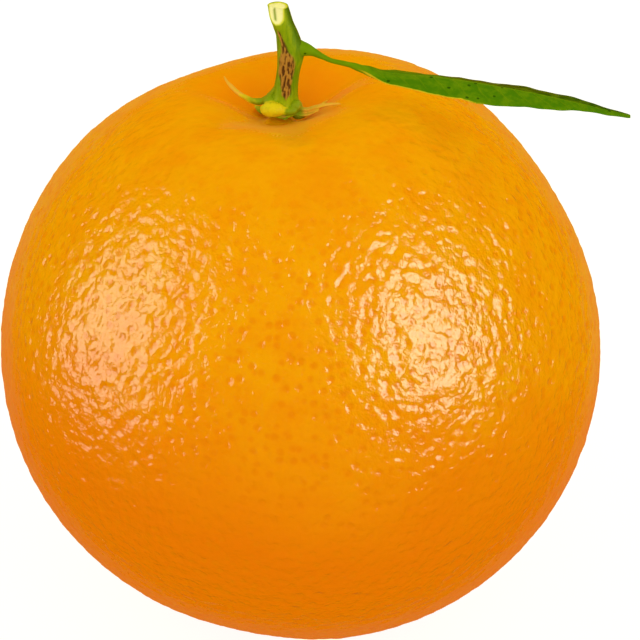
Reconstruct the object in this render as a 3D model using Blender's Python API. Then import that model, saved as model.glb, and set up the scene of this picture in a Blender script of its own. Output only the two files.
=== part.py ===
"""A whole sweet orange as picked: the fruit, its calyx, a cut stem and one leaf.

The fruit stands on a small flat spot. Metres, +Z up. The origin is the middle of the flat spot,
+Z runs up towards the stem, and +X is the side that the leaf grows to.
"""

import math

import bmesh
import bpy
from mathutils import Matrix, Vector

MM = 0.001
GAP = 0.3 * MM  # clearance between neighbouring solids

# Fruit
FRUIT_DIAMETER = 76.0 * MM
FRUIT_HEIGHT = 74.6 * MM  # of the whole spheroid, before the flat spot and the stem hollow
FLAT_DEPTH = 1.1 * MM  # how much of the spheroid's lower pole the flat spot takes away
FLAT_BLEND = 0.25 * MM  # the flat spot's edge rounds into the side within this height
# Soft rises and dips of the outline: polar angle, azimuth and spread in degrees, rise
SWELLS = (
    (40, 40, 21, 1.1 * MM),  # the fuller shoulder behind and to the right of the stem
    (130, -27, 25, 0.6 * MM),
    (132, 210, 28, -0.5 * MM),
    (149, 250, 20, -0.4 * MM),
    (64, 15, 28, -0.45 * MM),
    (37, 128, 12, -0.7 * MM),
)
LOBE_RISE = 0.3 * MM  # shallow upright lobes round the girth
LOBE_COUNT = 5

# Stem hollow
STEM_X = -2.2 * MM  # the stem pole leans this far from the axis of the flat spot
HOLLOW_DEPTH = 4.5 * MM
HOLLOW_REACH = 9.5 * MM
# Furrows that run out from the hollow: azimuth in degrees, depth, half width, where it fades
FURROWS = (
    (38, 2.0 * MM, 3.0 * MM, 13 * MM),
    (98, 0.9 * MM, 3.2 * MM, 12 * MM),
    (150, 1.0 * MM, 2.6 * MM, 12 * MM),
    (212, 0.6 * MM, 2.8 * MM, 11 * MM),
    (285, 0.5 * MM, 3.0 * MM, 11 * MM),
    (350, 0.4 * MM, 2.4 * MM, 10 * MM),
)
FURROW_START = 2.5 * MM

# Calyx: a button with five pointed lobes. Azimuth in degrees, length, half width at the root
BUTTON_RADIUS = 2.3 * MM
BUTTON_HEIGHT = 1.5 * MM
LOBE_THICKNESS = 0.8 * MM  # at the root
LOBE_THINNING = 0.55  # share of it that is lost by the tip
LOBE_LIFT = 0.35 * MM  # the lobes stand this far off the peel, besides the gap
LOBE_LIFT_AT = 4 * MM  # from the stem pole
SEPALS = (
    (148, 8.8 * MM, 1.3 * MM),
    (236, 3.6 * MM, 2.2 * MM),
    (300, 3.3 * MM, 1.7 * MM),
    (348, 7.0 * MM, 1.2 * MM),
    (28, 5.2 * MM, 1.1 * MM),
    (85, 3.6 * MM, 1.5 * MM),
)

# Stem
STEM_LENGTH = 12.2 * MM
STEM_RADIUS = 1.42 * MM
STEM_NODE_AT = 0.46  # the swelling that the leaf grows from, as a share of the length
STEM_NODE_SWELL = 0.26 * MM
STEM_NODE_REACH = 0.16
STEM_FOOT_FLARE = 0.35 * MM
STEM_FOOT_REACH = 0.12
STEM_BOW = 0.95 * MM  # the stem bows towards the leaf at the node
STEM_LEAN = -0.75 * MM  # the cut end leans away from the leaf
CUT_AT = 0.9  # the slanting cut crosses the middle line at this share of the length
CUT_NORMAL = Vector((-0.42, -0.62, 0.66))

# Leaf
PETIOLE_RADIUS = 0.45 * MM
PETIOLE_SHARE = 0.15  # share of the leaf's run that is petiole
PETIOLE_RISE = 0.6 * MM  # it leaves the stem this far above the middle of the node
PETIOLE_HOOK = 1.35 * MM  # it drops this far just after it leaves the node
PETIOLE_HOOK_REACH = 0.05
LEAF_RUN = 39.2 * MM  # from the stem to the tip, measured along +X
LEAF_DROP = 7.9 * MM
LEAF_SAG = 0.9 * MM  # the blade arches up this much above a straight line
BLADE_HALF_WIDTH = 4.4 * MM
BLADE_ROOT_POWER = 0.85  # the outline is blade**root_power * (1 - blade)**tip_power
BLADE_TIP_POWER = 0.95
BLADE_THICKNESS = 0.6 * MM
BLADE_FALL = 1.45 * MM  # how far each edge hangs below the midrib
BLADE_ROLL = 0.75 * MM  # the blade rolls, so that the far edge hangs lower and the near one higher

FRUIT_CENTRE_Z = FRUIT_HEIGHT / 2 - FLAT_DEPTH


def clear_scene():
    for old in list(bpy.data.objects):
        bpy.data.objects.remove(old, do_unlink=True)


def smoothstep(low, high, value):
    share = min(max((value - low) / (high - low), 0.0), 1.0)
    return share * share * (3 - 2 * share)


def polar_direction(polar, azimuth):
    ring = math.sin(polar)
    return Vector((ring * math.cos(azimuth), ring * math.sin(azimuth), math.cos(polar)))


def spheroid_radius(direction):
    """Distance from the fruit's centre to the peel, with its lobes and swells, along a direction."""
    a = FRUIT_DIAMETER / 2
    c = FRUIT_HEIGHT / 2
    level = math.hypot(direction.x, direction.y)
    radius = 1 / math.sqrt((level / a) ** 2 + (direction.z / c) ** 2)
    azimuth = math.atan2(direction.y, direction.x)
    radius += LOBE_RISE * level**3 * math.cos(LOBE_COUNT * azimuth)
    for polar, around, spread, rise in SWELLS:
        away = direction.angle(polar_direction(math.radians(polar), math.radians(around)))
        radius += rise * math.exp(-((away / math.radians(spread)) ** 2))
    return radius


def furrow_depth(x, y, azimuth, depth, half_width, fade):
    """Depth of one furrow at a point given from the stem pole."""
    along = x * math.cos(azimuth) + y * math.sin(azimuth)
    across = y * math.cos(azimuth) - x * math.sin(azimuth)
    run = smoothstep(0, FURROW_START, along) * math.exp(-((max(along, 0) / fade) ** 4))
    return depth * run * math.exp(-((across / half_width) ** 2))


def hollow_depth(x, y):
    """How far the stem hollow and its furrows sink the peel at a point given from the stem pole."""
    depth = HOLLOW_DEPTH * math.exp(-((math.hypot(x, y) / HOLLOW_REACH) ** 2))
    for degrees, deep, half_width, fade in FURROWS:
        depth += furrow_depth(x, y, math.radians(degrees), deep, half_width, fade)
    return depth


def above_flat(z):
    """A height kept at or above the flat spot's plane, with a small round edge."""
    if z >= FLAT_BLEND:
        return z
    return max(z + FLAT_BLEND, 0) ** 2 / (4 * FLAT_BLEND)


def peel_point(direction):
    """The point of the fruit's outside along a direction from its centre."""
    point = direction * spheroid_radius(direction)
    point.z += FRUIT_CENTRE_Z
    point.z -= smoothstep(0, 0.4, direction.z) * hollow_depth(point.x - STEM_X, point.y)
    point.z = above_flat(point.z)
    return point


def peel_height(x, y):
    """The height of the top of the peel above a point near the stem pole."""
    aim = Vector((x, y))
    for _ in range(10):
        point = peel_point(Vector((aim.x, aim.y, FRUIT_HEIGHT / 2)).normalized())
        aim += Vector((x - point.x, y - point.y))
    return point.z


def plain_material(name, colour, roughness):
    material = bpy.data.materials.new(name)
    material.use_nodes = True
    shader = material.node_tree.nodes["Principled BSDF"]
    shader.inputs["Base Color"].default_value = (*colour, 1)
    shader.inputs["Roughness"].default_value = roughness
    return material


def add_object(name, mesh_data, material):
    """Turns a bmesh into a smooth-shaded object with outward normals."""
    bmesh.ops.recalc_face_normals(mesh_data, faces=mesh_data.faces)
    mesh = bpy.data.meshes.new(name)
    mesh_data.to_mesh(mesh)
    mesh_data.free()
    mesh.shade_smooth()
    mesh.set_sharp_from_angle(angle=math.radians(40))
    mesh.materials.append(material)
    made = bpy.data.objects.new(name, mesh)
    bpy.context.collection.objects.link(made)
    return made


def join_rings(mesh_data, rings):
    """Quads between each ring of vertices and the next."""
    for lower, upper in zip(rings, rings[1:]):
        count = len(lower)
        for i in range(count):
            j = (i + 1) % count
            mesh_data.faces.new((lower[i], lower[j], upper[j], upper[i]))


def close_with_point(mesh_data, ring, point):
    """A fan of triangles from a ring to one point."""
    tip = mesh_data.verts.new(point)
    count = len(ring)
    for i in range(count):
        mesh_data.faces.new((ring[i], ring[(i + 1) % count], tip))


def ring_direction(polar, azimuth):
    """Rings centre on the stem pole at the top and on the flat spot at the bottom."""
    tilt = math.asin(STEM_X / (FRUIT_DIAMETER / 2)) * math.cos(polar / 2) ** 2
    return Matrix.Rotation(tilt, 3, "Y") @ polar_direction(polar, azimuth)


def build_fruit():
    segments = 64
    rings_wanted = 30
    mesh_data = bmesh.new()
    rings = []
    for i in range(1, rings_wanted):
        share = i / rings_wanted
        polar = math.pi * (share - 0.08 * math.sin(2 * math.pi * share))
        ring = []
        for j in range(segments):
            direction = ring_direction(polar, 2 * math.pi * j / segments)
            ring.append(mesh_data.verts.new(peel_point(direction)))
        rings.append(ring)
    join_rings(mesh_data, rings)
    close_with_point(mesh_data, rings[0], peel_point(ring_direction(0, 0)))
    close_with_point(mesh_data, rings[-1], Vector((0, 0, 0)))
    add_object("fruit", mesh_data, plain_material("peel", (0.88, 0.31, 0.005), 0.35))


def calyx_reach(azimuth):
    """How far the calyx reaches from the stem pole in one direction."""
    reach = BUTTON_RADIUS
    for degrees, length, half_width in SEPALS:
        off = abs(math.remainder(azimuth - math.radians(degrees), 2 * math.pi))
        if off < math.pi / 2:
            reach = max(reach, 1 / (math.sin(off) / half_width + math.cos(off) / length))
    return reach


def calyx_azimuths():
    """Directions for the calyx's rim, closer together near each lobe's tip."""
    found = {math.radians(6 * i) for i in range(60)}
    for degrees, _, _ in SEPALS:
        for off in (-3.5, -1.2, 0, 1.2, 3.5):
            found.add(math.radians((degrees + off) % 360))
    ordered = sorted(found)
    return [b for a, b in zip([ordered[-1] - 7] + ordered, ordered) if b - a > math.radians(0.4)]


def calyx_thickness(from_pole, reach):
    button = smoothstep(BUTTON_RADIUS * 1.5, BUTTON_RADIUS * 0.75, from_pole)
    lobe = LOBE_THICKNESS * (1 - LOBE_THINNING * from_pole / reach)
    return lobe + (BUTTON_HEIGHT - LOBE_THICKNESS) * button


def calyx_ring(mesh_data, share, top):
    ring = []
    for azimuth in calyx_azimuths():
        reach = calyx_reach(azimuth)
        out = share * reach
        x = STEM_X + out * math.cos(azimuth)
        y = out * math.sin(azimuth)
        z = peel_height(x, y) + GAP + LOBE_LIFT * smoothstep(0, LOBE_LIFT_AT, out)
        if top:
            z += calyx_thickness(out, reach)
        ring.append(mesh_data.verts.new((x, y, z)))
    return ring


def build_calyx():
    shares = (0.2, 0.45, 0.7, 0.88)
    mesh_data = bmesh.new()
    rings = [calyx_ring(mesh_data, share, False) for share in shares]
    rings.append(calyx_ring(mesh_data, 1, False))
    rings.append(calyx_ring(mesh_data, 1, True))
    rings += [calyx_ring(mesh_data, share, True) for share in reversed(shares)]
    join_rings(mesh_data, rings)
    floor = peel_height(STEM_X, 0) + GAP
    close_with_point(mesh_data, rings[0], (STEM_X, 0, floor))
    close_with_point(mesh_data, rings[-1], (STEM_X, 0, floor + BUTTON_HEIGHT))
    add_object("calyx", mesh_data, plain_material("calyx_green", (0.35, 0.33, 0.03), 0.55))


def stem_foot():
    """The middle of the stem's lower end, just clear of the calyx button."""
    return Vector((STEM_X, 0, peel_height(STEM_X, 0) + BUTTON_HEIGHT + 2.5 * GAP))


def stem_axis(share):
    """A point on the stem's middle line, from foot (0) to past the cut end (1)."""
    bow = STEM_BOW * math.sin(math.pi * min(share / STEM_NODE_AT, 2) / 2) ** 2
    lean = STEM_LEAN * smoothstep(STEM_NODE_AT, 1.05, share)
    return stem_foot() + Vector((bow + lean, 0, STEM_LENGTH * share))


def stem_radius(share):
    swell = STEM_NODE_SWELL * math.exp(-(((share - STEM_NODE_AT) / STEM_NODE_REACH) ** 2))
    flare = STEM_FOOT_FLARE * math.exp(-((share / STEM_FOOT_REACH) ** 2))
    return STEM_RADIUS + swell + flare


def build_stem():
    sides = 16
    ring_count = 13
    uncut_length = 1.12  # long enough for the slanting cut to pass right through
    mesh_data = bmesh.new()
    rings = []
    for i in range(ring_count + 1):
        share = uncut_length * i / ring_count
        middle = stem_axis(share)
        radius = stem_radius(share)
        ring = []
        for j in range(sides):
            turn = 2 * math.pi * j / sides
            ring.append(mesh_data.verts.new(middle + radius * Vector((math.cos(turn), math.sin(turn), 0))))
        rings.append(ring)
    join_rings(mesh_data, rings)
    mesh_data.faces.new(list(reversed(rings[0])))
    mesh_data.faces.new(rings[-1])
    cut_off_end(mesh_data, stem_axis(CUT_AT))
    add_object("stem", mesh_data, plain_material("stem_green", (0.22, 0.33, 0.03), 0.5))


def cut_off_end(mesh_data, middle):
    """Trims the stem with the slanting cut of the shears."""
    everything = mesh_data.verts[:] + mesh_data.edges[:] + mesh_data.faces[:]
    bmesh.ops.bisect_plane(
        mesh_data, geom=everything, plane_co=middle, plane_no=CUT_NORMAL.normalized(), clear_outer=True
    )
    rim = [edge for edge in mesh_data.edges if edge.is_boundary]
    bmesh.ops.contextual_create(mesh_data, geom=rim)


def leaf_root():
    """Where the petiole starts, just clear of the stem's node on its +X side."""
    node = stem_axis(STEM_NODE_AT)
    return node + Vector((stem_radius(STEM_NODE_AT) + 2 * GAP, 0, PETIOLE_RISE))


def midrib_point(share):
    """A point on the leaf's midrib, from the stem (0) to the tip (1)."""
    arch = LEAF_SAG * math.sin(math.pi * share)
    hook = PETIOLE_HOOK * (math.exp(-share / PETIOLE_HOOK_REACH) - 1)
    return leaf_root() + Vector((LEAF_RUN * share, 0, arch + hook - LEAF_DROP * share))


def blade_outline(blade):
    return blade**BLADE_ROOT_POWER * (1 - blade) ** BLADE_TIP_POWER


def leaf_half_width(share):
    """Half the leaf's width: a thin petiole, a blade that tapers both ways and a pointed tip."""
    blade = max((share - PETIOLE_SHARE) / (1 - PETIOLE_SHARE), 0)
    widest = BLADE_ROOT_POWER / (BLADE_ROOT_POWER + BLADE_TIP_POWER)
    taper = PETIOLE_RADIUS * (1 - 0.6 * share)
    return max(taper, BLADE_HALF_WIDTH * blade_outline(blade) / blade_outline(widest))


def leaf_half_thickness(share):
    blade = smoothstep(0.05, 0.3, share)
    tip = 1 - 0.45 * share
    return PETIOLE_RADIUS * (1 - blade) + BLADE_THICKNESS / 2 * blade * tip


def leaf_ring(mesh_data, share):
    sides = 16
    middle = midrib_point(share)
    half_width = leaf_half_width(share)
    thick = leaf_half_thickness(share)
    ring = []
    for j in range(sides):
        turn = 2 * math.pi * j / sides
        across = half_width * math.cos(turn)
        off = across / BLADE_HALF_WIDTH
        fall = BLADE_FALL * off**2 + BLADE_ROLL * off
        ring.append(mesh_data.verts.new(middle + Vector((0, across, thick * math.sin(turn) - fall))))
    return ring


def build_leaf():
    ring_count = 26
    mesh_data = bmesh.new()
    rings = [leaf_ring(mesh_data, i / ring_count) for i in range(ring_count + 1)]
    join_rings(mesh_data, rings)
    mesh_data.faces.new(list(reversed(rings[0])))
    mesh_data.faces.new(rings[-1])
    add_object("leaf", mesh_data, plain_material("leaf_green", (0.08, 0.25, 0.015), 0.4))


def main():
    clear_scene()
    build_fruit()
    build_calyx()
    build_stem()
    build_leaf()


main()
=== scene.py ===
"""The looks of a sweet orange with its calyx, cut stem and leaf, built around their fixed frame.

Everything is in metres, +Z up, with the origin in the middle of the fruit's flat spot.
"""

import math

import bmesh
import bpy
import numpy as np
from bpy.props import FloatProperty, FloatVectorProperty, IntProperty, PointerProperty
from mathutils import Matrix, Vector, noise


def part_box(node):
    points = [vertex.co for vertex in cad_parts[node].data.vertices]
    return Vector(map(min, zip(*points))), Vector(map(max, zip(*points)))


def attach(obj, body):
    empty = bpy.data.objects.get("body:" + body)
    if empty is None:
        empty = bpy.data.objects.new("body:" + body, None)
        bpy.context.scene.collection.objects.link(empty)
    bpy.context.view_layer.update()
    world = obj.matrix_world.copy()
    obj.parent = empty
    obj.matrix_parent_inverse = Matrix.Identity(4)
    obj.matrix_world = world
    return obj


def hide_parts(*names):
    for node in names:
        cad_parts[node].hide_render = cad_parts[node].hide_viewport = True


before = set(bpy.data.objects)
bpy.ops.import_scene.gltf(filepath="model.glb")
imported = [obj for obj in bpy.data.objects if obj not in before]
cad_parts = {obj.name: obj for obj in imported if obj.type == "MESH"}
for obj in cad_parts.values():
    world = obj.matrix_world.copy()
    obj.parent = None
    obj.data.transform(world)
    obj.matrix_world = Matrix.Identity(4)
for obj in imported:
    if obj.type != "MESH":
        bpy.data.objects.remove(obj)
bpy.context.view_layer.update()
CALYX_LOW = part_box("calyx")[0]
STEM_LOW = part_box("stem")[0]

bl_info = {
    "name": "Sweet Orange",
    "version": (1, 0, 0),
    "blender": (4, 5, 0),
    "location": "View3D > Sidebar > Orange",
    "description": "Builds a sweet orange with dimpled peel, calyx, cut stem and leaf",
    "category": "Add Mesh",
}

MM = 0.001
TURN = 2 * math.pi
ROOT = "root"

# Soft rises and dips of the outline: polar angle, azimuth and spread in degrees, rise
SWELLS = (
    (40, 40, 21, 1.1 * MM),
    (130, -27, 25, 0.6 * MM),
    (132, 210, 28, -0.5 * MM),
    (149, 250, 20, -0.4 * MM),
    (64, 15, 28, -0.45 * MM),
    (37, 128, 12, -0.7 * MM),
)
# Furrows that run out from the stem hollow: azimuth in degrees, depth, half width, where it fades
FURROWS = (
    (38, 2.0 * MM, 3.0 * MM, 13 * MM),
    (98, 0.9 * MM, 3.2 * MM, 12 * MM),
    (150, 1.0 * MM, 2.6 * MM, 12 * MM),
    (212, 0.6 * MM, 2.8 * MM, 11 * MM),
    (285, 0.5 * MM, 3.0 * MM, 11 * MM),
    (350, 0.4 * MM, 2.4 * MM, 10 * MM),
)
FURROW_START = 2.5 * MM
PLACE = "peel_place"  # each point's place before the pits, which the peel's textures are read at
PEEL_ROUGHNESS = (0.06, 0.13)
GRAZING_ANGLES = (0.58, 0.86)  # the share of facing away over which the wax turns dull
GRAZING_ROUGHNESS = 0.42  # what it adds there


def length_property(name, description, default):
    return FloatProperty(
        name=name,
        description=description,
        default=default,
        min=0,
        subtype="DISTANCE",
        unit="LENGTH",
        precision=5,
    )


def angle_property(name, description, degrees):
    return FloatProperty(
        name=name, description=description, default=math.radians(degrees), subtype="ANGLE", unit="ROTATION"
    )


def colour_property(name, description, default):
    return FloatVectorProperty(
        name=name, description=description, default=default, size=3, min=0, max=1, subtype="COLOR"
    )


class FruitSettings(bpy.types.PropertyGroup):
    """Sizes and colours of the fruit."""

    diameter: length_property("Diameter", "Width of the fruit before its lobes and swells", 76 * MM)
    height: length_property("Height", "Height before the flat spot and the hollow", 74.6 * MM)
    flat_depth: length_property("Flat Depth", "How much the flat spot takes off the lower pole", 1.1 * MM)
    flat_blend: length_property("Flat Blend", "Height over which the flat spot rounds off", 0.25 * MM)
    lobe_rise: length_property("Lobes", "Rise of the upright lobes round the girth", 0.3 * MM)
    lobe_count: IntProperty(name="Lobe Count", description="Upright lobes round the girth", default=5)
    hollow_depth: length_property("Hollow Depth", "Depth of the stem hollow", 4.5 * MM)
    hollow_reach: length_property("Hollow Reach", "Radius over which the hollow fades", 9.5 * MM)
    gland_spacing: length_property("Gland Spacing", "Distance between large oil glands", 1.45 * MM)
    gland_depth: length_property("Gland Depth", "Depth of the large pits", 0.06 * MM)
    dimple_spacing: length_property("Dimple Spacing", "Distance between small dimples", 0.85 * MM)
    dimple_depth: length_property("Dimple Depth", "Depth of the small dimples", 0.02 * MM)
    swell_size: length_property("Swell Size", "Width of the soft bumps of the peel", 6 * MM)
    swell_height: length_property("Swell Height", "Height of the soft bumps of the peel", 0.25 * MM)
    ripple_size: length_property("Ripple Size", "Width of the ripples between the glands", 1.4 * MM)
    ripple_height: length_property("Ripple Height", "Height of the ripples between the glands", 0.32 * MM)
    pebble_size: length_property("Pebble Size", "Width of the small round cells of the peel", 0.65 * MM)
    pebble_height: length_property("Pebble Height", "Height of the small round cells", 0.055 * MM)
    grain_size: length_property("Grain Size", "Width of the fine crinkles of the peel", 0.26 * MM)
    grain_height: length_property("Grain Height", "Height of the fine crinkles", 0.05 * MM)
    scar_radius: length_property("Scar Radius", "Radius of the blossom end's scar", 1.3 * MM)
    scar_depth: length_property("Scar Depth", "Depth of the blossom end's scar", 0.6 * MM)
    grid: IntProperty(name="Grid", description="Squares along each side of the six face grids", default=128)
    # The upper colour is partly the peel's own tone and partly painted light on the top of the fruit.
    upper_colour: colour_property("Upper Colour", "Peel round the upper half", (0.9, 0.385, 0.0))
    lower_colour: colour_property("Lower Colour", "Peel towards the blossom end", (0.87, 0.205, 0.0))
    gland_colour: colour_property("Gland Colour", "Peel in the bottom of the glands", (0.84, 0.225, 0.0))
    # Painted shade: a darker, redder orange that stands in for the shade and warm bounce light in the stem
    # hollow.
    hollow_shade_colour: colour_property("Hollow Colour", "Peel behind the stem", (0.92, 0.25, 0.0))


class CalyxSettings(bpy.types.PropertyGroup):
    """Sizes and colours of the calyx."""

    voxel: length_property("Voxel", "Size of the grid that the lobes are grown together on", 0.09 * MM)
    green: colour_property("Green", "Fresh tissue", (0.24, 0.34, 0.003))
    yellow: colour_property("Yellow", "Ripe lobe", (0.74, 0.60, 0.008))
    tan: colour_property("Tan", "Dry tips and rims", (0.84, 0.45, 0.06))
    # Painted shade: the dark colour in the streaks where the calyx lies against the peel.
    crack: colour_property("Crack", "Dark line against the peel", (0.16, 0.06, 0.012))


class StemSettings(bpy.types.PropertyGroup):
    """Sizes and colours of the stem."""

    green: colour_property("Green", "Bark", (0.15, 0.27, 0.001))
    pale: colour_property("Pale Green", "Ridges of the bark", (0.46, 0.54, 0.002))
    # Painted shade: the darker green that the bark on its +X side, towards the leaf, is drawn in.
    dark: colour_property("Dark Green", "Bark on the leaf's side", (0.03, 0.11, 0.0))
    cork: colour_property("Cork", "Ridges of the corky streak", (0.46, 0.225, 0.04))
    crack: colour_property("Crack", "Cracks between the cork", (0.11, 0.04, 0.008))
    wood: colour_property("Wood", "Fresh cut wood", (0.98, 0.95, 0.60))
    rind: colour_property("Rind", "Rim of the cut", (0.68, 0.68, 0.02))
    pith: colour_property("Pith", "Line of pith in the cut", (0.22, 0.33, 0.01))


class LeafSettings(bpy.types.PropertyGroup):
    """Sizes and colours of the leaf."""

    thickness: length_property("Thickness", "Thickness of the blade", 0.34 * MM)
    green: colour_property("Green", "Blade", (0.066, 0.2, 0.0))
    light: colour_property("Light Green", "Veins and young tissue", (0.2, 0.33, 0.002))
    dark: colour_property("Dark Green", "Shaded half of the blade", (0.012, 0.065, 0.0))
    margin: colour_property("Margin", "Thin dry rim", (0.62, 0.50, 0.02))


class StageSettings(bpy.types.PropertyGroup):
    """Camera, lights and floor."""

    elevation: angle_property("Elevation", "Angle that the camera looks down at", 29)
    distance: length_property("Distance", "From the camera to the fruit's middle", 0.50)
    view_width: length_property("View Width", "Width of the view at the fruit's middle", 81.2 * MM)
    aim_right: length_property("Aim Right", "Aim to the right of the fruit's middle", 2.65 * MM)
    aim_up: length_property("Aim Up", "Aim above the fruit's middle", 3.1 * MM)
    floor_size: length_property("Floor", "Side of the floor", 6.0)


# Shape helpers


def smoothstep(low, high, value):
    share = np.clip((value - low) / (high - low), 0, 1)
    return share * share * (3 - 2 * share)


def polar_direction(polar, azimuth):
    ring = math.sin(polar)
    return np.array((ring * math.cos(azimuth), ring * math.sin(azimuth), math.cos(polar)))


def fruit_centre(fruit):
    return fruit.height / 2 - fruit.flat_depth


def stem_pole():
    """The stem hollow's middle, which is also the middle of the stem's foot."""
    foot = [v.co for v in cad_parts["stem"].data.vertices if v.co.z < STEM_LOW.z + 0.1 * MM]
    return np.array((sum(p.x for p in foot) / len(foot), 0.0))


def hollow_depth(fruit, x, y):
    """How far the stem hollow and its furrows sink the peel at points given from the stem pole."""
    depth = fruit.hollow_depth * np.exp(-(x * x + y * y) / fruit.hollow_reach**2)
    for degrees, deep, half_width, fade in FURROWS:
        azimuth = math.radians(degrees)
        along = x * math.cos(azimuth) + y * math.sin(azimuth)
        across = y * math.cos(azimuth) - x * math.sin(azimuth)
        run = smoothstep(0, FURROW_START, along) * np.exp(-((np.maximum(along, 0) / fade) ** 4))
        depth = depth + deep * run * np.exp(-((across / half_width) ** 2))
    return depth


def spheroid_radius(fruit, directions):
    """Distance from the fruit's centre to the peel, with its lobes and swells."""
    level = np.hypot(directions[:, 0], directions[:, 1])
    radius = 1 / np.hypot(level / (fruit.diameter / 2), directions[:, 2] / (fruit.height / 2))
    azimuth = np.arctan2(directions[:, 1], directions[:, 0])
    radius += fruit.lobe_rise * level**3 * np.cos(fruit.lobe_count * azimuth)
    for polar, around, spread, rise in SWELLS:
        towards = polar_direction(math.radians(polar), math.radians(around))
        away = np.arccos(np.clip(directions @ towards, -1, 1))
        radius += rise * np.exp(-((away / math.radians(spread)) ** 2))
    return radius


def peel_points(fruit, directions):
    """Points of the fruit's outside along unit directions from its centre."""
    points = directions * spheroid_radius(fruit, directions)[:, None]
    points[:, 2] += fruit_centre(fruit)
    pole = stem_pole()
    sunk = hollow_depth(fruit, points[:, 0] - pole[0], points[:, 1] - pole[1])
    points[:, 2] -= smoothstep(0, 0.4, directions[:, 2]) * sunk
    low = points[:, 2] < fruit.flat_blend
    eased = np.maximum(points[:, 2] + fruit.flat_blend, 0) ** 2 / (4 * fruit.flat_blend)
    points[:, 2] = np.where(low, eased, points[:, 2])
    below = directions[:, 2] < 0
    off_axis = np.hypot(points[:, 0], points[:, 1])
    points[:, 2] += below * fruit.scar_depth * np.exp(-((off_axis / fruit.scar_radius) ** 2))
    return points


def peel_heights(fruit, places):
    """The height of the top of the peel above places near the stem pole."""
    aims = np.array(places, float)
    for _ in range(10):
        directions = np.column_stack((aims, np.full(len(aims), fruit.height / 2)))
        directions /= np.linalg.norm(directions, axis=1, keepdims=True)
        points = peel_points(fruit, directions)
        aims += places - points[:, :2]
    return points[:, 2]


def new_piece(name, points, faces):
    """A smooth mesh object from points and faces, linked to the scene."""
    mesh = bpy.data.meshes.new(name)
    mesh.from_pydata([tuple(p) for p in points], [], [tuple(f) for f in faces])
    mesh.shade_smooth()
    piece = bpy.data.objects.new(name, mesh)
    bpy.context.scene.collection.objects.link(piece)
    return piece


def store(piece, name, values, kind="FLOAT"):
    """Keeps one value for each point of a piece, for its material to read."""
    field = {"FLOAT": "value", "FLOAT_VECTOR": "vector"}[kind]
    attribute = piece.data.attributes.new(name, kind, "POINT")
    attribute.data.foreach_set(field, np.asarray(values, np.float32).ravel())


def points_of(piece):
    found = np.empty(len(piece.data.vertices) * 3, np.float32)
    piece.data.vertices.foreach_get("co", found)
    return found.reshape(-1, 3).astype(float)


def move_points(piece, points):
    piece.data.vertices.foreach_set("co", np.asarray(points, np.float32).ravel())
    piece.data.update()


def ring_faces(ring_count, sides):
    """Quads between rings of points that are numbered ring by ring."""
    faces = []
    for i in range(ring_count - 1):
        for j in range(sides):
            k = (j + 1) % sides
            faces.append((i * sides + j, i * sides + k, (i + 1) * sides + k, (i + 1) * sides + j))
    return faces


def swept_body(rings):
    """Points and faces of a closed body from rings of equal length, with a fan at each end."""
    rings = np.asarray(rings, float)
    count, sides = rings.shape[:2]
    points = np.concatenate((rings.reshape(-1, 3), rings[0].mean(0)[None], rings[-1].mean(0)[None]))
    faces = [tuple(reversed(face)) for face in ring_faces(count, sides)]
    first, last = count * sides, count * sides + 1
    top = (count - 1) * sides
    for j in range(sides):
        k = (j + 1) % sides
        faces.append((j, first, k))
        faces.append((top + j, top + k, last))
    return points, faces


def joined_bodies(bodies):
    """Points and faces of several bodies as one list each."""
    points, faces, base = [], [], 0
    for body_points, body_faces in bodies:
        points.extend(body_points)
        faces.extend(tuple(i + base for i in face) for face in body_faces)
        base += len(body_points)
    return points, faces


def point_outwards(piece):
    """Makes every face of a closed piece look out."""
    shape = bmesh.new()
    shape.from_mesh(piece.data)
    bmesh.ops.recalc_face_normals(shape, faces=shape.faces)
    shape.to_mesh(piece.data)
    shape.free()


def noise_at(points, size, detail=0):
    """Smooth noise between about -1 and 1 at each point; detail adds finer layers."""
    found = np.zeros(len(points))
    for layer in range(detail + 1):
        step = size / 2**layer
        found += [noise.noise(Vector(p)) / 2**layer for p in np.asarray(points) / step]
    return found


def smooth_line(keys, count):
    """Points along a smooth curve through keys whose first column is the parameter."""
    keys = np.asarray(keys, float)
    share = np.linspace(keys[0, 0], keys[-1, 0], count)
    slopes = np.gradient(keys[:, 1:], keys[:, 0], axis=0)
    index = np.clip(np.searchsorted(keys[:, 0], share, "right") - 1, 0, len(keys) - 2)
    span = (keys[index + 1, 0] - keys[index, 0])[:, None]
    t = (share - keys[index, 0])[:, None] / span
    start, end = keys[index, 1:], keys[index + 1, 1:]
    rise, settle = slopes[index] * span, slopes[index + 1] * span
    curve = (2 * t**3 - 3 * t**2 + 1) * start + (3 * t**2 - 2 * t**3) * end
    return curve + (t**3 - 2 * t**2 + t) * rise + (t**3 - t**2) * settle


def stand_for(piece, node):
    """Makes a piece ride on the fruit's body in place of its plain solid."""
    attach(piece, ROOT)
    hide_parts(node)


# Node helpers


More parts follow.
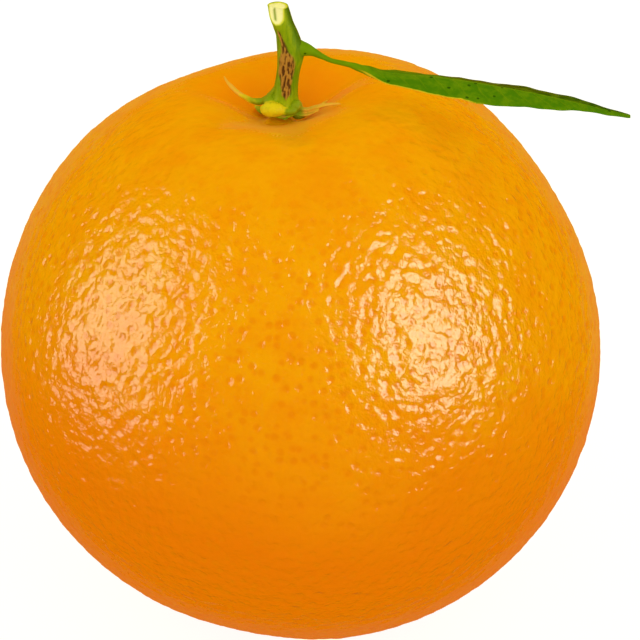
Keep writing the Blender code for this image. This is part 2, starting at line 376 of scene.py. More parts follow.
class NodeSheet:
    """Adds nodes to a tree and wires them in one call each."""

    def __init__(self, tree):
        self.tree = tree

    def add(self, kind, inputs, **settings):
        node = self.tree.nodes.new(kind)
        for name, value in settings.items():
            setattr(node, name, value)
        for key, value in inputs.items():
            self.feed(node.inputs[key], value)
        return node

    def feed(self, socket, value):
        if isinstance(value, bpy.types.NodeSocket):
            self.tree.links.new(value, socket)
        elif socket.type == "RGBA":
            socket.default_value = (*value[:3], 1)
        else:
            socket.default_value = value

    def math(self, operation, *values, clamp=False):
        inputs = dict(enumerate(values))
        return self.add("ShaderNodeMath", inputs, operation=operation, use_clamp=clamp).outputs[0]

    def times(self, first, second):
        return self.math("MULTIPLY", first, second)

    def remap(self, value, low, high, to_low=0.0, to_high=1.0):
        inputs = {"Value": value, "From Min": low, "From Max": high, "To Min": to_low, "To Max": to_high}
        return self.add("ShaderNodeMapRange", inputs, interpolation_type="SMOOTHSTEP").outputs[0]

    def mix(self, factor, first, second):
        node = self.add("ShaderNodeMix", {}, data_type="RGBA")
        self.feed(node.inputs[0], factor)
        self.feed(node.inputs[6], first)
        self.feed(node.inputs[7], second)
        return node.outputs[2]

    def cloud(self, place, scale, detail, roughness=0.6):
        inputs = {"Vector": place, "Scale": scale, "Detail": detail, "Roughness": roughness}
        return self.add("ShaderNodeTexNoise", inputs).outputs["Fac"]

    def noise(self, place, size, detail=2.0):
        return self.cloud(place, 1 / size, detail, 0.5)

    def voronoi(self, place, size, randomness=1.0):
        inputs = {"Vector": place, "Scale": 1 / size, "Randomness": randomness}
        return self.add("ShaderNodeTexVoronoi", inputs, feature="F1").outputs["Distance"]

    def attribute(self, name, output="Fac"):
        return self.add("ShaderNodeAttribute", {}, attribute_name=name).outputs[output]


def new_material(name):
    """A material with an empty sheet, its Principled shader and the sheet itself."""
    material = bpy.data.materials.new(name)
    material.use_nodes = True
    shader = material.node_tree.nodes["Principled BSDF"]
    return material, shader, NodeSheet(material.node_tree)


def set_constants(shader, **values):
    """Sets sockets that are the same all over; underscores stand for spaces."""
    for name, value in values.items():
        shader.inputs[name.replace("_", " ")].default_value = value


def shared_group(name, inputs, output, fill):
    """A shader node group with named sockets, built once; fill(sheet, inputs) returns its output."""
    if name in bpy.data.node_groups:
        return bpy.data.node_groups[name]
    tree = bpy.data.node_groups.new(name, "ShaderNodeTree")
    for label, kind, default in inputs:
        socket = tree.interface.new_socket(name=label, in_out="INPUT", socket_type=kind)
        if default is not None:
            socket.default_value = default
    label, kind = output
    tree.interface.new_socket(name=label, in_out="OUTPUT", socket_type=kind)
    sheet = NodeSheet(tree)
    given = sheet.add("NodeGroupInput", {}).outputs
    sheet.feed(sheet.add("NodeGroupOutput", {}).inputs[label], fill(sheet, given))
    return tree


def draw_mottle(sheet, given):
    patches = sheet.remap(sheet.cloud(given["Place"], given["Scale"], 4.0), 0.38, 0.68)
    return sheet.mix(sheet.times(patches, given["Amount"]), given["Base"], given["Patch"])


def mottle_group():
    """Soft patches of one colour in another, as living tissue has."""
    return shared_group(
        "Mottle",
        (
            ("Place", "NodeSocketVector", None),
            ("Scale", "NodeSocketFloat", 300.0),
            ("Amount", "NodeSocketFloat", 0.5),
            ("Base", "NodeSocketColor", (0.5, 0.5, 0.5, 1)),
            ("Patch", "NodeSocketColor", (0.5, 0.5, 0.5, 1)),
        ),
        ("Color", "NodeSocketColor"),
        draw_mottle,
    )


def draw_fibres(sheet, given):
    drawn = sheet.add("ShaderNodeCombineXYZ", {"X": 1.0, "Y": 1.0, "Z": given["Stretch"]})
    inputs = {0: given["Place"], 1: drawn.outputs[0]}
    place = sheet.add("ShaderNodeVectorMath", inputs, operation="MULTIPLY").outputs[0]
    return sheet.remap(sheet.cloud(place, given["Scale"], 3.0), 0.35, 0.65)


def fibre_group():
    """Fine lengthwise fibres, from places that run along the fibres in Z."""
    return shared_group(
        "Fibres",
        (
            ("Place", "NodeSocketVector", None),
            ("Scale", "NodeSocketFloat", 2000.0),
            ("Stretch", "NodeSocketFloat", 0.15),
        ),
        ("Mask", "NodeSocketFloat"),
        draw_fibres,
    )


def use_group(sheet, tree, inputs):
    node = sheet.add("ShaderNodeGroup", {}, node_tree=tree)
    for key, value in inputs.items():
        sheet.feed(node.inputs[key], value)
    return node.outputs[0]


def mottled(sheet, place, size, amount, base, patch):
    inputs = {"Place": place, "Scale": 1 / size, "Amount": amount, "Base": base, "Patch": patch}
    return use_group(sheet, mottle_group(), inputs)


def fibrous(sheet, place, size, stretch):
    return use_group(sheet, fibre_group(), {"Place": place, "Scale": 1 / size, "Stretch": stretch})


def bump(sheet, shader, height, distance, strength=1.0):
    """Feeds a height, worth `distance` metres at 1, to a shader's normal."""
    node = sheet.add("ShaderNodeBump", {"Strength": strength, "Distance": distance, "Height": height})
    sheet.feed(shader.inputs["Normal"], node.outputs["Normal"])


# Fruit


def cube_sphere(count):
    """Unit directions, quads and a flat layout of a sphere made of six square grids."""
    step = np.arange(count + 1)
    a, b = np.meshgrid(step, step, indexing="ij")
    keys, layout = [], []
    span = count + 1
    for face in range(6):
        axis, far = face % 3, face // 3
        lattice = np.empty((span, span, 3), int)
        lattice[..., axis] = count * far
        lattice[..., (axis + 1) % 3] = a if far else b
        lattice[..., (axis + 2) % 3] = b if far else a
        keys.append(lattice @ (span * span, span, 1))
        corner = np.array((face % 3, face // 3))
        layout.append((np.stack((a, b), -1) / count * 0.98 + 0.01 + corner) / (3, 2))
    used, index = np.unique(np.stack(keys), return_inverse=True)
    index = index.reshape(6, span, span)
    corners = ((0, 0), (1, 0), (1, 1), (0, 1))
    quads = np.stack([index[:, i : i + count, j : j + count] for i, j in corners], -1)
    spots = np.stack([np.stack(layout)[:, i : i + count, j : j + count] for i, j in corners], -2)
    lattice = np.stack((used // (span * span), used // span % span, used % span), -1)
    cube = np.tan((2 * lattice / count - 1) * math.pi / 4)
    directions = cube / np.linalg.norm(cube, axis=1, keepdims=True)
    return directions, quads.reshape(-1, 4), spots.reshape(-1, 2)


def add_pits(sheet, place, fruit):
    """The glands' stain, the peel's height in metres and a mask that is low round the stem."""
    pole = (*stem_pole(), CALYX_LOW.z)
    away = sheet.add("ShaderNodeVectorMath", {0: place, 1: pole}, operation="DISTANCE").outputs["Value"]
    open_peel = sheet.remap(away, 6 * MM, 26 * MM, 0.12, 1.0)
    gland = sheet.remap(sheet.voronoi(place, fruit.gland_spacing, 0.75), 0.16, 0.46, 1.0, 0.0)
    dimple = sheet.remap(sheet.voronoi(place, fruit.dimple_spacing), 0.1, 0.55, 1.0, 0.0)
    ripple = sheet.math("SUBTRACT", sheet.noise(place, fruit.ripple_size, 1.0), 0.5)
    raised = sheet.times(ripple, fruit.ripple_height)
    raised = sheet.math("MULTIPLY_ADD", gland, -fruit.gland_depth, raised)
    raised = sheet.math("MULTIPLY_ADD", dimple, -fruit.dimple_depth, raised)
    stain = sheet.math("MULTIPLY_ADD", dimple, 0.15, sheet.times(gland, 0.55), clamp=True)
    return sheet.times(stain, open_peel), sheet.times(raised, open_peel), open_peel


def pit_tree(fruit):
    """A modifier's tree that sinks the pits and raises the soft swells of the peel."""
    tree = bpy.data.node_groups.new("Peel Relief", "GeometryNodeTree")
    tree.interface.new_socket(name="Geometry", in_out="INPUT", socket_type="NodeSocketGeometry")
    tree.interface.new_socket(name="Geometry", in_out="OUTPUT", socket_type="NodeSocketGeometry")
    sheet = NodeSheet(tree)
    place = sheet.add("GeometryNodeInputNamedAttribute", {"Name": PLACE}, data_type="FLOAT_VECTOR")
    place = place.outputs["Attribute"]
    height = add_pits(sheet, place, fruit)[1]
    swell = sheet.math("SUBTRACT", sheet.noise(place, fruit.swell_size, 1.5), 0.5)
    height = sheet.math("MULTIPLY_ADD", swell, fruit.swell_height, height)
    level = sheet.add("ShaderNodeSeparateXYZ", {0: place}).outputs["Z"]
    clear_of_floor = sheet.remap(level, 0.0, 3 * MM)
    height = sheet.times(height, clear_of_floor)
    normal = sheet.add("GeometryNodeInputNormal", {}).outputs[0]
    offset = sheet.add("ShaderNodeVectorMath", {0: normal, "Scale": height}, operation="SCALE").outputs[0]
    given = sheet.add("NodeGroupInput", {})
    moved = sheet.add("GeometryNodeSetPosition", {"Geometry": given.outputs[0], "Offset": offset})
    sheet.add("NodeGroupOutput", {0: moved.outputs[0]})
    return tree


def bake_modifiers(piece):
    """Replaces a piece's mesh with what its modifiers make of it."""
    evaluated = piece.evaluated_get(bpy.context.evaluated_depsgraph_get())
    mesh = bpy.data.meshes.new_from_object(evaluated)
    piece.modifiers.clear()
    old = piece.data
    piece.data = mesh
    bpy.data.meshes.remove(old)
    mesh.name = piece.name


def peel_material(fruit):
    material, shader, sheet = new_material("Orange Peel")
    place = sheet.attribute(PLACE, "Vector")
    stain, height, open_peel = add_pits(sheet, place, fruit)
    across, depth, level = sheet.add("ShaderNodeSeparateXYZ", {0: place}).outputs
    stain = sheet.times(stain, sheet.remap(level, 54 * MM, 70 * MM, 1.0, 0.35))
    # The peel turns from the lower to the upper colour with height, with a random drift and a little more
    # to the +X side: partly the peel's own tone, partly painted light that brightens the top and the right
    # side.
    drift = sheet.math("MULTIPLY_ADD", sheet.noise(place, 22 * MM), 24 * MM, level)
    drift = sheet.math("MULTIPLY_ADD", across, 0.15, drift)
    tone_and_painted_light = sheet.remap(drift, 38 * MM, 68 * MM)
    body = sheet.mix(tone_and_painted_light, fruit.lower_colour, fruit.upper_colour)
    body = mottled(sheet, place, 5 * MM, 0.3, body, fruit.lower_colour)
    colour = sheet.mix(stain, body, fruit.gland_colour)
    # Painted shade: the back wall of the stem hollow, behind the stem, is drawn darker and redder as its
    # shade and bounce light.
    pole = (*stem_pole(), CALYX_LOW.z + 2 * MM)
    away = sheet.add("ShaderNodeVectorMath", {0: place, 1: pole}, operation="DISTANCE").outputs["Value"]
    behind = sheet.remap(depth, -1 * MM, 4 * MM)
    hollow = sheet.times(sheet.remap(away, 5 * MM, 17 * MM, 0.75, 0.0), behind)
    colour = sheet.mix(hollow, colour, fruit.hollow_shade_colour)
    sheet.feed(shader.inputs["Base Color"], colour)
    grain = sheet.noise(place, fruit.grain_size, 1.5)
    pebble = sheet.math("POWER", sheet.voronoi(place, fruit.pebble_size), 2.0)
    fine = sheet.times(pebble, -fruit.pebble_height)
    fine = sheet.math("MULTIPLY_ADD", grain, fruit.grain_height, fine)
    fine = sheet.times(fine, open_peel)
    fine = sheet.math("MULTIPLY_ADD", height, 0.8, fine)
    bump(sheet, shader, fine, 1.0)
    facing = sheet.add("ShaderNodeLayerWeight", {"Blend": 0.5}).outputs["Facing"]
    duller = sheet.remap(facing, *GRAZING_ANGLES, 0.0, GRAZING_ROUGHNESS)
    rough = sheet.math("ADD", sheet.remap(grain, 0.3, 0.7, *PEEL_ROUGHNESS), duller)
    sheet.feed(shader.inputs["Roughness"], rough)
    set_constants(
        shader,
        IOR=1.5,
        Specular_IOR_Level=0.95,
        Subsurface_Weight=0.4,
        Subsurface_Radius=(1.0, 0.4, 0.1),
        Subsurface_Scale=0.8 * MM,
    )
    return material


def build_fruit(fruit):
    directions, quads, layout = cube_sphere(fruit.grid)
    points = peel_points(fruit, directions)
    piece = new_piece("orange_fruit", points, quads)
    store(piece, PLACE, points, "FLOAT_VECTOR")
    flat_map = piece.data.uv_layers.new(name="OFBake")
    flat_map.uv.foreach_set("vector", layout.astype(np.float32).ravel())
    relief = piece.modifiers.new("Peel Relief", "NODES")
    relief.node_group = pit_tree(fruit)
    bake_modifiers(piece)
    piece.data.materials.append(peel_material(fruit))
    stand_for(piece, "fruit")


# Calyx

# Lobes, in degrees and millimetres: azimuth of the root, bend, reach, half width, thickness, height
# of the root and of the tip above the peel, and how fast the root's height falls off
SEPALS = (
    (170, -20, 8.1, 0.62, 0.5, 3.6, 2.7, 1.3),
    (132, 8, 4.2, 1.2, 0.45, 0.9, 0.5, 1.0),
    (82, 4, 3.9, 1.4, 0.5, 0.9, 0.35, 1.0),
    (28, -6, 6.3, 0.45, 0.3, 0.9, 0.45, 1.0),
    (353, -3, 7.5, 0.62, 0.34, 2.6, 0.25, 1.0),
    (338, 8, 4.9, 0.85, 0.34, 1.7, 0.6, 1.0),
    (288, -6, 3.0, 0.95, 0.26, 0.8, 0.7, 1.0),
)
# Swellings, in millimetres: centre from the stem pole and its peel, and three radii
SWELLINGS = (
    ((-0.95, -1.85, 1.25), (1.6, 1.05, 0.95)),
    ((1.85, -1.15, 1.45), (0.8, 0.8, 0.75)),
    ((0.7, -1.7, 1.05), (1.5, 0.8, 0.6)),
    ((-1.2, -0.5, 1.7), (0.95, 0.9, 0.8)),
    ((0.35, 0.1, 0.8), (2.4, 2.1, 1.1)),
)
RIPE_LOBE = 0  # which of the swellings is ripe
SEPAL_RINGS, SEPAL_SIDES = 22, 14


def ellipsoid(middle, radii, sides=20):
    rings = []
    for polar in np.linspace(0.06, math.pi - 0.06, sides // 2):
        ring = [polar_direction(polar, TURN * j / sides) for j in range(sides)]
        rings.append(np.array(ring) * radii + middle)
    return swept_body(rings)


def sepal(fruit, calyx_foot, azimuth, bend, reach, half_width, thickness, root_lift, tip_lift, fall):
    """A pointed lobe, in millimetres from the stem pole, that lies along the peel and lifts at its tip."""
    pole = stem_pole()
    shares = np.linspace(0, 1, SEPAL_RINGS)
    turn = np.radians(azimuth + bend * shares**1.5)
    middle = np.stack((np.cos(turn), np.sin(turn)), 1) * (reach * shares)[:, None]
    peel = peel_heights(fruit, middle * MM + pole) / MM - calyx_foot
    lift = root_lift * (1 - shares) ** fall + tip_lift * shares**2.2
    side = np.stack((-np.sin(turn), np.cos(turn)), 1)
    rings = []
    for k, share in enumerate(shares):
        half = half_width * (1 - share**1.3) ** 0.75 * (1 + 0.35 * math.sin(9 * share + azimuth)) + 0.1
        thick = thickness * (1 - 0.65 * share)
        ring = []
        for angle in TURN * np.arange(SEPAL_SIDES) / SEPAL_SIDES:
            across = half * math.cos(angle)
            cup = 0.28 * across**2 / max(half, 0.2)
            x, y = middle[k] + side[k] * across
            ring.append((x, y, peel[k] + lift[k] + thick * math.sin(angle) + cup))
        rings.append(ring)
    return swept_body(rings)


def calyx_material(calyx):
    material, shader, sheet = new_material("Calyx")
    place = sheet.add("ShaderNodeTexCoord", {}).outputs["Object"]
    tip, ripe, low, dry = (sheet.attribute(name) for name in ("tip", "ripe", "low", "dry"))
    streaks = fibrous(sheet, place, 0.5 * MM, 1.0)
    fresh = sheet.mix(sheet.remap(tip, 0.1, 0.5), calyx.green, calyx.yellow)
    fresh = mottled(sheet, place, 0.9 * MM, 0.3, fresh, calyx.green)
    dried = sheet.math("ADD", tip, sheet.times(streaks, 0.35))
    body = sheet.mix(sheet.remap(dried, 0.55, 1.05), fresh, calyx.tan)
    dry = sheet.times(dry, sheet.remap(streaks, 0.0, 1.0, 0.6, 1.0))
    body = sheet.mix(dry, body, calyx.tan)
    body = sheet.mix(ripe, body, calyx.yellow)
    # Where the calyx lies against the peel it is drawn tan, its dry rim, streaked with dark painted contact
    # shade.
    rim = sheet.mix(sheet.remap(streaks, 0.2, 0.9), calyx.tan, calyx.crack)
    colour = sheet.mix(sheet.remap(low, 0.35, 1.0), body, rim)
    sheet.feed(shader.inputs["Base Color"], colour)
    bump(sheet, shader, streaks, 0.05 * MM, 0.8)
    set_constants(shader, Roughness=0.45, IOR=1.4, Specular_IOR_Level=0.12)
    return material


def build_calyx(calyx, fruit):
    pole = stem_pole()
    foot = peel_heights(fruit, pole[None])[0] / MM
    bodies = [sepal(fruit, foot, *numbers) for numbers in SEPALS]
    bodies += [ellipsoid(middle, radii) for middle, radii in SWELLINGS]
    points, faces = joined_bodies(bodies)
    piece = new_piece("orange_calyx", points, faces)
    grown = piece.modifiers.new("Grown Together", "REMESH")
    grown.mode = "VOXEL"
    grown.voxel_size = calyx.voxel / MM
    eased = piece.modifiers.new("Eased", "SMOOTH")
    eased.factor = 0.5
    eased.iterations = 8
    bake_modifiers(piece)
    points = points_of(piece)
    rough = noise_at(points, 0.7, 2)
    outward = np.empty(len(points) * 3, np.float32)
    piece.data.vertices.foreach_get("normal", outward)
    points += outward.reshape(-1, 3) * (0.06 * rough)[:, None]
    out = np.hypot(points[:, 0], points[:, 1])
    peel = peel_heights(fruit, points[:, :2] * MM + pole) / MM - foot
    middle, radii = SWELLINGS[RIPE_LOBE]
    near = np.linalg.norm((points - middle) / radii, axis=1)
    store(piece, "tip", smoothstep(1.6, 7.5, out + 0.5 * rough))
    store(piece, "ripe", smoothstep(1.25, 0.95, near + 0.12 * rough) * (points[:, 2] > 0.45))
    dry = smoothstep(2.2, 3.2, points[:, 0] + 0.3 * rough) * smoothstep(0.9, 0.2, points[:, 1])
    above = points[:, 2] - peel
    dry_foot = smoothstep(0.5, -0.4, above - 0.25 * rough) * (out > 2.6)
    store(piece, "dry", np.maximum(dry, dry_foot))
    # Painted shade: how close each point lies to the peel, where the calyx is drawn tan with dark streaks.
    store(piece, "low", smoothstep(0.42, 0.02, above + 0.1 * rough))
    move_points(piece, points * MM + (*pole, foot * MM))
    piece.data.shade_smooth()
    piece.data.materials.append(calyx_material(calyx))
    stand_for(piece, "calyx")


# Stem

# Middle line and radius of the stem, in millimetres: height above its foot, offset to +X, radius
STEM_LINE = (
    (0.2, 0.2, 2.2),
    (1.2, 0.35, 1.95),
    (2.2, 0.5, 1.66),
    (3.2, 0.65, 1.5),
    (4.7, 0.88, 1.42),
    (6.2, 1.1, 1.46),
    (7.6, 1.26, 1.62),
    (9.1, 1.16, 1.58),
    (10.6, 0.86, 1.4),
    (12.2, 0.28, 1.36),
    (14.6, -0.34, 1.27),
    (16.5, -0.8, 1.22),
)
# The end is cut level, with a scoop out of one side: a point where the scoop starts, its direction,
# and how far it drops over its first reach
CUT_START = (-0.6, -0.33, 14.3)
CUT_TOWARDS = (-0.5, -0.866)
CUT_REACH = 0.85
CUT_DROP = 2.4
# The corky streak, in millimetres and radians: height, direction from the front and half width
CORK_LINE = (
    (2.2, 0.1, 0.0),
    (3.0, 0.05, 0.4),
    (4.3, -0.12, 0.52),
    (6.0, -0.3, 0.76),
    (7.4, -0.36, 0.7),
    (8.7, -0.36, 0.34),
    (9.8, -0.48, 0.28),
    (11.0, -0.6, 0.26),
    (11.8, -0.6, 0.0),
)
STEM_RINGS, STEM_SIDES, CUT_RINGS = 190, 96, 24


def stem_point(heights, angles, line):
    """Points of the bark at heights and angles round the stem, and how corky and cracked it is there."""
    middle = np.interp(heights, line[:, 0], line[:, 1])
    radius = np.interp(heights, line[:, 0], line[:, 2])
    around = np.stack((np.cos(angles), np.sin(angles)), 1) * 1.4
    lumps = noise_at(np.column_stack((around, heights)), 1.8, 1)
    ridges = noise_at(np.column_stack((around, heights * 0.2)), 0.55, 2)
    cracks = noise_at(np.column_stack((around, heights * 0.22 + around[:, 0] * 0.4)), 0.23, 2)
    cracks = smoothstep(-0.38, 0.36, cracks)
    front = np.remainder(angles + 0.75 * TURN, TURN) - 0.5 * TURN
    keys = np.array(CORK_LINE)
    off = np.abs(front - np.interp(heights, keys[:, 0], keys[:, 1])) + 0.16 * lumps
    cork = smoothstep(-0.1, 0.16, np.interp(heights, keys[:, 0], keys[:, 2]) - off)
    radius += 0.05 * lumps + 0.035 * ridges * (1 - cork) + cork * (0.2 * cracks - 0.08)
    radius += 0.12 * smoothstep(3.0, 0.8, heights) * np.cos(5 * angles + 1.0)
    points = np.column_stack((middle, np.zeros(len(middle)), heights))
    points[:, :2] += around / 1.4 * radius[:, None]
    return points, cork, cracks


def cut_height(places):
    """Height of the cut end over each place, in millimetres."""
    depth = (places[:, :2] - CUT_START[:2]) @ np.array(CUT_TOWARDS)
    return CUT_START[2] - CUT_DROP * (np.maximum(depth, 0) / CUT_REACH) ** 0.4


def stem_material(stem):
    material, shader, sheet = new_material("Stem Bark")
    place = sheet.add("ShaderNodeTexCoord", {}).outputs["Object"]
    cork, crack, cut, rind, pith, young, shaded = (
        sheet.attribute(name) for name in ("cork", "crack", "cut", "rind", "pith", "young", "shaded")
    )
    fibres = fibrous(sheet, place, 0.5 * MM, 0.16)
    bark = sheet.mix(sheet.times(fibres, 0.4), stem.green, stem.pale)
    bark = sheet.mix(sheet.times(young, 0.65), bark, stem.pale)
    # Painted shade: the bark on the +X side is drawn dark green.
    bark = sheet.mix(sheet.remap(shaded, 0.45, 0.95, 0.0, 0.9), bark, stem.dark)
    bark = mottled(sheet, place, 1.2 * MM, 0.45, bark, stem.green)
    ridge = sheet.math("MULTIPLY_ADD", fibres, 0.3, crack)
    bark = sheet.mix(cork, bark, sheet.mix(sheet.remap(ridge, 0.15, 0.95), stem.crack, stem.cork))
    wood = sheet.mix(rind, stem.wood, stem.rind)
    wood = sheet.mix(sheet.times(pith, 0.9), wood, stem.pith)
    sheet.feed(shader.inputs["Base Color"], sheet.mix(cut, bark, wood))
    bump(sheet, shader, fibres, 0.06 * MM, 0.6)
    sheet.feed(shader.inputs["Roughness"], sheet.remap(cork, 0.0, 1.0, 0.36, 0.75))
    set_constants(shader, IOR=1.4, Specular_IOR_Level=0.1)
    return material


def build_stem(stem, fruit):
    pole = stem_pole()
    foot = peel_heights(fruit, pole[None])[0]
    sides, ring_count, cap_count = STEM_SIDES, STEM_RINGS, CUT_RINGS
    keys = np.array(STEM_LINE)
    line = np.column_stack((np.linspace(keys[0, 0], keys[-1, 0], 200), smooth_line(keys, 200)))
    angles = np.linspace(0, TURN, sides, endpoint=False)
    ends = np.full(sides, CUT_START[2])
    for _ in range(25):
        ends = 0.5 * ends + 0.5 * cut_height(stem_point(ends, angles, line)[0])
    shares = np.linspace(0, 1, ring_count)[:, None]
    heights = (keys[0, 0] + shares * (ends - keys[0, 0])).ravel()
    bark, cork, crack = stem_point(heights, np.tile(angles, ring_count), line)
    rim = bark[-sides:]
    inner = np.repeat(1 - np.arange(1, cap_count) / cap_count, sides)
    cap = np.array(CUT_START) + (np.tile(rim, (cap_count - 1, 1)) - CUT_START) * inner[:, None]
    cap[:, 2] = cut_height(cap) + 0.05 * noise_at(cap, 0.5, 2) - 0.05 * smoothstep(1.0, 0.85, inner)
    points, faces = swept_body(np.concatenate((bark, cap)).reshape(-1, sides, 3))
    piece = new_piece("orange_stem", points * MM + (*pole, foot), faces)
    point_outwards(piece)

    def keep(name, on_bark, on_cut):
        store(piece, name, np.concatenate((on_bark, on_cut, np.zeros(2))))

    streak = np.exp(-(((cap[:, 0] + 0.62 + 0.12 * (cap[:, 2] - 13.4)) / 0.17) ** 2))
    streak *= smoothstep(12.5, 12.8, cap[:, 2]) * smoothstep(14.3, 14.0, cap[:, 2])
    keep("cork", cork, 0 * inner)
    keep("crack", crack, 0 * inner)
    keep("cut", 0 * cork, smoothstep(1.0, 0.9, inner))
    keep("rind", 0 * cork, smoothstep(0.68, 0.9, inner))
    keep("pith", 0 * cork, streak)
    young = smoothstep(11.0, 12.5, heights) * 0.6 + smoothstep(4.0, 1.0, heights)
    keep("young", young, 0 * inner)
    # Painted shade: how much the bark on the +X side, above 5.5 mm, is drawn darker.
    side = np.cos(np.tile(angles, ring_count)) * smoothstep(5.5, 8.5, heights)
    keep("shaded", np.maximum(side, 0), 0 * inner)
    piece.data.materials.append(stem_material(stem))
    stand_for(piece, "stem")


# Leaf

# Middle line of the leaf, in millimetres: offset to +X from the stem pole, sideways, height above its peel
LEAF_LINE = (
    (1.9, 0.0, 8.7),
    (3.8, 0.0, 8.3),
    (4.8, 0.0, 7.75),
    (6.1, 0.0, 7.05),
    (8.5, 0.0, 6.4),
    (11.0, 0.0, 5.6),
    (15.9, 0.0, 4.95),
    (20.8, 0.0, 4.4),
    (25.7, 0.0, 3.5),
    (30.7, 0.0, 2.5),
    (35.6, 0.0, 1.3),
    (43.0, 0.0, -0.62),
)
# Blade: offset to +X, near half width, far half width, slopes of the near and the far half
LEAF_BLADE = (
    (1.9, 1.35, 1.35, 0.0, 0.0),
    (2.9, 0.9, 0.9, 0.0, 0.0),
    (4.0, 0.58, 0.58, 0.0, 0.0),
    (5.2, 0.38, 0.38, 0.0, 0.0),
    (6.3, 0.3, 0.3, 0.0, 0.0),
    (8.5, 0.34, 0.34, 0.05, 0.05),
    (10.0, 0.6, 0.5, 0.12, 0.12),
    (11.2, 1.25, 1.0, 0.15, 0.2),
    (13.4, 2.4, 2.2, 0.16, 0.3),
    (16.5, 3.2, 3.1, 0.16, 0.4),
    (20.8, 3.9, 3.9, 0.16, 0.42),
    (24.0, 4.25, 4.1, 0.16, 0.4),
    (28.2, 3.6, 3.8, 0.16, 0.33),
    (33.1, 2.5, 2.7, 0.16, 0.22),
    (38.0, 1.15, 1.35, 0.12, 0.03),
    (41.5, 0.62, 0.62, 0.05, 0.0),
    (42.7, 0.45, 0.4, 0.0, 0.0),
    (43.0, 0.2, 0.2, 0.0, 0.0),
)
LEAF_RINGS, LEAF_SIDES = 240, 72
SPECK_SPACING = 1.1 * MM
SPECK_SIZE = 0.2  # radius as a share of the spacing
SPECK_RARITY = 0.62  # share of the cells without a speck


def scattered_specks(sheet, place):
    """A mask of the small scars in some cells of the blade."""
    cell = sheet.add("ShaderNodeTexVoronoi", {"Vector": place, "Scale": 1 / SPECK_SPACING}).outputs
    dot = sheet.math("LESS_THAN", cell["Distance"], SPECK_SIZE)
    lot = sheet.add("ShaderNodeSeparateColor", {"Color": cell["Color"]}).outputs[0]
    return sheet.times(dot, sheet.math("GREATER_THAN", lot, SPECK_RARITY))


def leaf_material(leaf):
    material, shader, sheet = new_material("Leaf")
    place = sheet.add("ShaderNodeTexCoord", {}).outputs["Object"]
    along, across, stalk = (sheet.attribute(name) for name in ("along", "across", "stalk"))
    off = sheet.math("ABSOLUTE", across)
    swept = sheet.math("MULTIPLY_ADD", off, -0.055, along)
    wobble = sheet.math("MULTIPLY_ADD", sheet.noise(place, 3 * MM, 1.0), 0.03, swept)
    wave = sheet.math("ABSOLUTE", sheet.math("SINE", sheet.times(wobble, 52.0)))
    inside = sheet.remap(off, 0.55, 0.95, 1.0, 0.0)
    veins = sheet.times(sheet.remap(wave, 0.0, 0.3, 1.0, 0.0), inside)
    rib = sheet.remap(off, 0.015, 0.07, 1.0, 0.0)
    # Painted shade: the far half of the blade is drawn darker from a little before halfway along to the
    # tip.
    far = sheet.times(sheet.remap(across, 0.0, 0.08), sheet.remap(along, 0.38, 0.55))
    base = sheet.mix(sheet.times(far, 0.85), leaf.green, leaf.dark)
    base = mottled(sheet, place, 1.3 * MM, 0.4, base, leaf.light)
    base = sheet.mix(sheet.times(veins, 0.3), base, leaf.light)
    base = sheet.mix(sheet.times(rib, 0.4), base, leaf.light)
    base = sheet.mix(sheet.times(stalk, 0.6), base, leaf.light)
    base = sheet.mix(sheet.times(scattered_specks(sheet, place), 0.8), base, leaf.dark)
    ragged = sheet.math("MULTIPLY_ADD", sheet.noise(place, 0.8 * MM), 0.05, off)
    edge = sheet.times(sheet.remap(ragged, 0.992, 1.022), sheet.remap(along, 0.5, 0.58, 1.0, 0.0))
    edge = sheet.times(edge, sheet.remap(stalk, 0.4, 0.95, 1.0, 0.0))
    sheet.feed(shader.inputs["Base Color"], sheet.mix(edge, base, leaf.margin))
    sunk = sheet.times(veins, -0.5)
    relief = sheet.math("MULTIPLY_ADD", sheet.noise(place, 0.5 * MM, 2.0), 0.4, sunk)
    bump(sheet, shader, relief, 0.12 * MM, 0.8)
    set_constants(shader, Roughness=0.42, IOR=1.4, Specular_IOR_Level=0.02)
    return material


